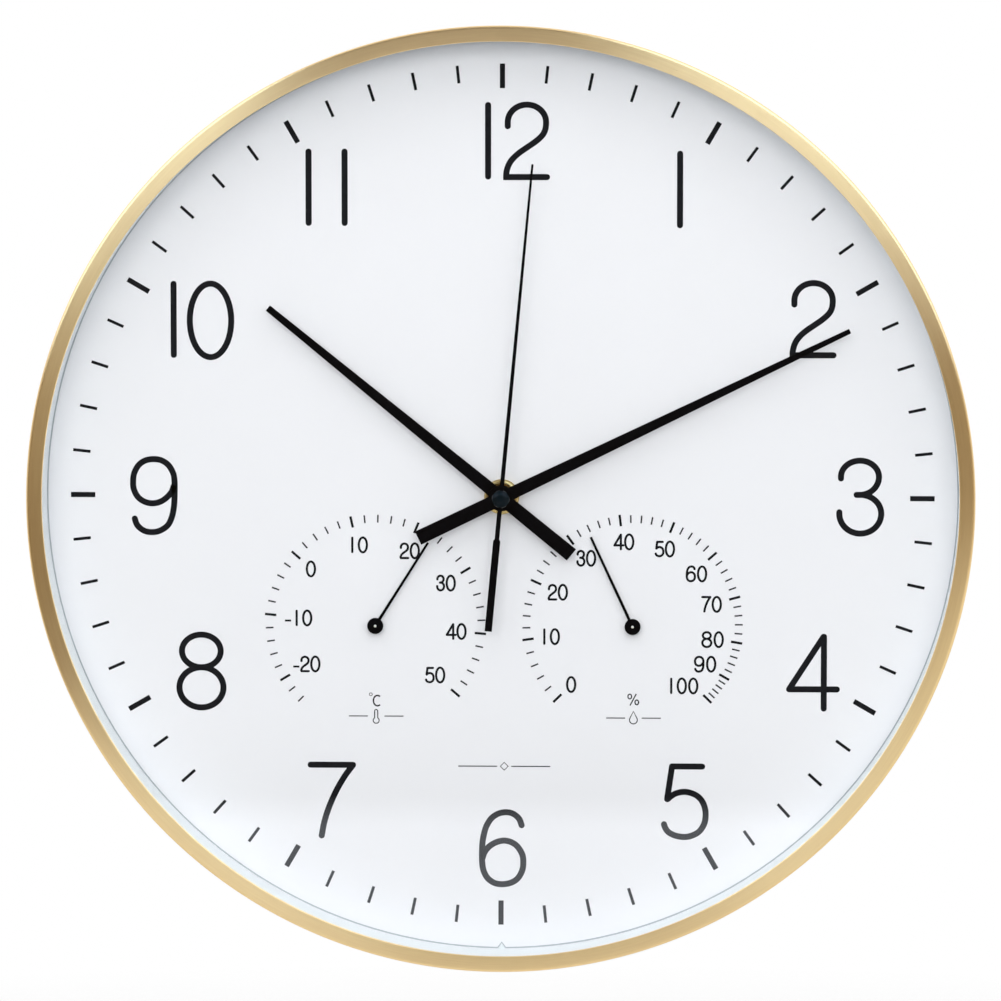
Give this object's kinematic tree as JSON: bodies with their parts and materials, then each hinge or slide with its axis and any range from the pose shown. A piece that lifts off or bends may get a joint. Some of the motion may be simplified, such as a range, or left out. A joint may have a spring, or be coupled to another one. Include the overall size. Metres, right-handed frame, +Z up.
{
  "type": "wall clock",
  "caption": "Round wall clock with a deep metal rim, glass front, white dial with hands, and small thermometer and hygrometer pointers set into the dial.",
  "frame": {"origin": "on the wall plane, on the axis of the hanging screw at the top of the keyhole; the hand axis is 0.104 m below it", "axes": "+Z up, the dial faces -Y, the wall is the plane y = 0"},
  "size_m": [0.3, 0.04, 0.3],
  "materials": {
    "gold_aluminium": "brushed, champagne gold anodised",
    "front_glass": "clear, polished",
    "white_plastic": "moulded, satin white",
    "dial_white": "matt white, printed",
    "grey_plastic": "moulded, dark grey",
    "black_plastic": "moulded, black",
    "brass": "turned",
    "rubber": "moulded",
    "steel": "rolled",
    "copper_winding": "copper, lacquered",
    "board_green": "glass-fibre board",
    "gear_plastic": "moulded, natural",
    "black_lacquer": "satin black lacquer",
    "magnet": "sintered magnet with a moulded pinion",
    "battery_wrap": "plain printed sleeve"
  },
  "bodies": {
    "case": {"bezel_frame": "gold_aluminium", "glass_lens": "front_glass", "spacer_ring": "white_plastic", "dial_plate": "dial_white", "back_case": "grey_plastic", "movement_case": "black_plastic", "movement_plate": "black_plastic", "threaded_bushing": "brass", "rubber_gasket": "rubber", "bushing_washer": "brass", "fixing_nut": "brass", "stator": "steel", "drive_coil": "copper_winding", "circuit_board": "board_green", "control_chip": "black_plastic", "quartz_crystal": "steel", "positive_contact": "steel", "negative_contact": "steel", "thermometer_cup": "white_plastic", "bimetal_coil": "copper_winding", "hygrometer_cup": "white_plastic", "humidity_coil": "copper_winding"},
    "second_hand_set": {"seconds_wheel": "gear_plastic", "second_hand": "black_lacquer", "second_hand_cap": "black_lacquer"},
    "rotor_set": {"rotor": "magnet"},
    "fifth_set": {"fifth_wheel": "gear_plastic"},
    "third_set": {"third_wheel": "gear_plastic"},
    "centre_set": {"centre_gear": "gear_plastic"},
    "minute_hand_set": {"minute_pipe": "brass", "clutch_spring": "steel", "minute_hand": "black_lacquer"},
    "motion_set": {"motion_wheel": "gear_plastic"},
    "hour_hand_set": {"hour_wheel": "gear_plastic", "hour_hand": "black_lacquer"},
    "setting_set": {"set_knob": "grey_plastic"},
    "thermometer_needle": {"thermometer_arbor": "brass", "thermometer_pointer": "black_lacquer"},
    "hygrometer_needle": {"hygrometer_arbor": "brass", "hygrometer_pointer": "black_lacquer"},
    "battery_cell": {"battery": "battery_wrap"}
  },
  "joints": [
    {"name": "second_hand_spin", "type": "hinge", "parent": "case", "child": "second_hand_set", "pos_m": [0, -0.02, -0.104], "axis": [0, 1, 0], "continuous": true},
    {"name": "rotor_spin", "type": "hinge", "parent": "case", "child": "rotor_set", "pos_m": [-0.01016, -0.02, -0.09012], "axis": [0, 1, 0], "continuous": true},
    {"name": "fifth_wheel_spin", "type": "hinge", "parent": "case", "child": "fifth_set", "pos_m": [-0.00507, -0.02, -0.09522], "axis": [0, 1, 0], "continuous": true},
    {"name": "third_wheel_spin", "type": "hinge", "parent": "case", "child": "third_set", "pos_m": [0.00883, -0.02, -0.0989], "axis": [0, 1, 0], "continuous": true},
    {"name": "centre_gear_spin", "type": "hinge", "parent": "case", "child": "centre_set", "pos_m": [0, -0.02, -0.104], "axis": [0, 1, 0], "continuous": true},
    {"name": "minute_hand_spin", "type": "hinge", "parent": "case", "child": "minute_hand_set", "pos_m": [0, -0.02, -0.104], "axis": [0, 1, 0], "continuous": true},
    {"name": "motion_wheel_spin", "type": "hinge", "parent": "case", "child": "motion_set", "pos_m": [-0.00789, -0.02, -0.10687], "axis": [0, 1, 0], "continuous": true},
    {"name": "hour_hand_spin", "type": "hinge", "parent": "case", "child": "hour_hand_set", "pos_m": [0, -0.02, -0.104], "axis": [0, 1, 0], "continuous": true},
    {"name": "set_knob_spin", "type": "hinge", "parent": "case", "child": "setting_set", "pos_m": [-0.01629, -0.02, -0.10687], "axis": [0, 1, 0], "continuous": true},
    {"name": "thermometer_swing", "type": "hinge", "parent": "case", "child": "thermometer_needle", "pos_m": [-0.04035, -0.02, -0.1454], "axis": [0, 1, 0], "range_deg": [-166.5, 98.2], "stiffness_Nm_per_rad": 0.005},
    {"name": "hygrometer_swing", "type": "hinge", "parent": "case", "child": "hygrometer_needle", "pos_m": [0.0418, -0.02, -0.1454], "axis": [0, 1, 0], "range_deg": [-109.2, 160.4], "stiffness_Nm_per_rad": 0.005},
    {"name": "battery_slide", "type": "slide", "parent": "case", "child": "battery_cell", "axis": [0, 1, 0], "range_m": [0, 0.025]}
  ],
  "couplings": [
    {"joint": "rotor_spin", "follows": "second_hand_spin", "ratio": 30},
    {"joint": "fifth_wheel_spin", "follows": "second_hand_spin", "ratio": -6},
    {"joint": "third_wheel_spin", "follows": "second_hand_spin", "ratio": -0.13333},
    {"joint": "centre_gear_spin", "follows": "second_hand_spin", "ratio": 0.016667},
    {"joint": "motion_wheel_spin", "follows": "minute_hand_spin", "ratio": -0.33333},
    {"joint": "hour_hand_spin", "follows": "minute_hand_spin", "ratio": 0.083333},
    {"joint": "set_knob_spin", "follows": "minute_hand_spin", "ratio": 1}
  ]
}
